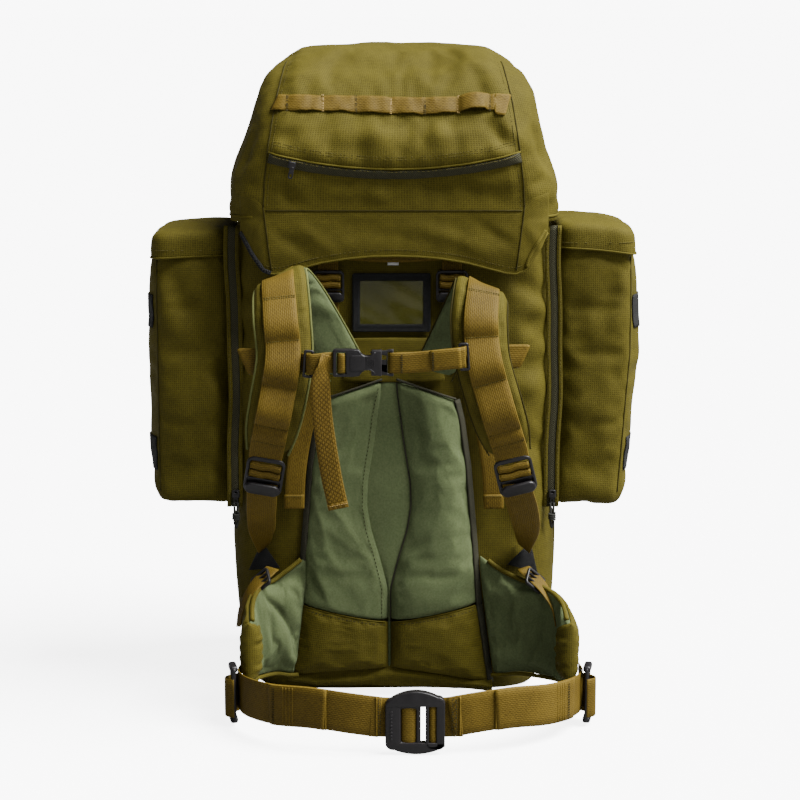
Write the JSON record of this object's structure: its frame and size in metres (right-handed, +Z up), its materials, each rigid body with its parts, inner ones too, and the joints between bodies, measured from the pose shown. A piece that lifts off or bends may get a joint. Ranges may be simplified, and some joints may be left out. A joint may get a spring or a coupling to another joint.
{
  "type": "hunting backpack",
  "caption": "Tall framed backpack with a hinged lid, zip-on side pockets, padded shoulder straps joined by a chest strap, and a padded hip belt with a wide buckle.",
  "frame": {"origin": "on the floor under the middle of the pack, half way between the belt buckle and the lid straps", "axes": "+Z up, -Y towards the wearer (harness side), +X to the right when looking at the harness"},
  "size_m": [0.617, 0.555, 0.822],
  "materials": {
    "olive_cloth": "woven",
    "green_lining": "soft woven",
    "brown_webbing": "woven webbing",
    "grey_zip": "woven tape",
    "black_plastic": "satin",
    "black_tape": "matte",
    "clear_film": "gloss",
    "frame_plastic": "matte",
    "black_cord": "braided"
  },
  "bodies": {
    "pack": {"main_bag": "olive_cloth", "lumbar_pad": "olive_cloth", "lid_curtain": "olive_cloth", "pocket_left": "olive_cloth", "pocket_right": "olive_cloth", "shoulder_pad_left": "olive_cloth", "shoulder_pad_right": "olive_cloth", "yoke_panel": "olive_cloth", "back_pad": "green_lining", "front_strap_left": "brown_webbing", "front_strap_right": "brown_webbing", "grab_handle": "brown_webbing", "shoulder_webbing_left": "brown_webbing", "shoulder_webbing_right": "brown_webbing", "lower_webbing_left": "brown_webbing", "lower_webbing_right": "brown_webbing", "yoke_webbing_left": "brown_webbing", "yoke_webbing_right": "brown_webbing", "chest_webbing_left": "brown_webbing", "chest_tail": "brown_webbing", "side_zip_left": "grey_zip", "side_zip_right": "grey_zip", "cord_lock_body": "black_plastic", "shoulder_buckle_left": "black_plastic", "shoulder_buckle_right": "black_plastic", "yoke_buckle_left": "black_plastic", "yoke_buckle_right": "black_plastic", "chest_hook_left": "black_plastic", "chest_hook_right": "black_plastic", "chest_buckle_socket": "black_plastic", "id_window_frame": "black_tape", "id_window_film": "clear_film", "frame_sheet": "frame_plastic", "collar_drawcord": "black_cord"},
    "lid": {"lid_shell": "olive_cloth", "lid_lining": "olive_cloth", "lid_zip": "grey_zip", "lid_daisy_chain": "brown_webbing", "lid_strap_left": "brown_webbing", "lid_strap_right": "brown_webbing", "lid_hook_left": "black_plastic", "lid_hook_right": "black_plastic"},
    "lid_slider": {"lid_zip_slider": "black_plastic"},
    "left_pocket_lid": {"pocket_lid_left": "olive_cloth"},
    "right_pocket_lid": {"pocket_lid_right": "olive_cloth"},
    "left_zip_slider": {"zip_slider_left": "black_plastic", "zip_pull_left": "black_cord"},
    "right_zip_slider": {"zip_slider_right": "black_plastic", "zip_pull_right": "black_cord"},
    "chest_plug": {"chest_buckle_plug": "black_plastic", "chest_webbing_right": "brown_webbing"},
    "left_hip_belt": {"hip_wing_left": "green_lining", "hip_webbing_left": "brown_webbing", "hip_adjuster_left": "black_plastic", "waist_buckle_plug": "black_plastic"},
    "right_hip_belt": {"hip_wing_right": "green_lining", "hip_webbing_right": "brown_webbing", "hip_adjuster_right": "black_plastic", "waist_buckle_socket": "black_plastic"},
    "lock_button": {"cord_lock_button": "black_plastic"}
  },
  "joints": [
    {"name": "lid_hinge", "type": "hinge", "parent": "pack", "child": "lid", "pos_m": [0, -0.0475, 0.6095], "axis": [1, 0, 0], "range_deg": [0, 90]},
    {"name": "lid_zip_run", "type": "hinge", "parent": "lid", "child": "lid_slider", "pos_m": [0, -0.0675, 1.27546], "axis": [0, -1, 0], "range_deg": [0, 23.6]},
    {"name": "left_pocket_lid_hinge", "type": "hinge", "parent": "pack", "child": "left_pocket_lid", "pos_m": [-0.258, 0.2058, 0.5735], "axis": [-1, 0, 0], "range_deg": [0, 110]},
    {"name": "right_pocket_lid_hinge", "type": "hinge", "parent": "pack", "child": "right_pocket_lid", "pos_m": [0.258, 0.2058, 0.5735], "axis": [-1, 0, 0], "range_deg": [0, 110]},
    {"name": "left_zip_run", "type": "slide", "parent": "pack", "child": "left_zip_slider", "axis": [0, 0, 1], "range_m": [0, 0.33]},
    {"name": "right_zip_run", "type": "slide", "parent": "pack", "child": "right_zip_slider", "axis": [0, 0, 1], "range_m": [0, 0.33]},
    {"name": "chest_buckle_release", "type": "slide", "parent": "pack", "child": "chest_plug", "axis": [1, 0, 0], "range_m": [0, 0.026]},
    {"name": "left_hip_hinge", "type": "hinge", "parent": "pack", "child": "left_hip_belt", "pos_m": [-0.128, -0.05, 0.1], "axis": [0, 0, -1], "range_deg": [0, 20], "stiffness_Nm_per_rad": 0.4},
    {"name": "right_hip_hinge", "type": "hinge", "parent": "pack", "child": "right_hip_belt", "pos_m": [0.128, -0.05, 0.1], "axis": [0, 0, 1], "range_deg": [0, 20], "stiffness_Nm_per_rad": 0.4},
    {"name": "lock_button_press", "type": "slide", "parent": "pack", "child": "lock_button", "axis": [0, 0, -1], "range_m": [0, 0.003], "stiffness_N_per_m": 300}
  ]
}
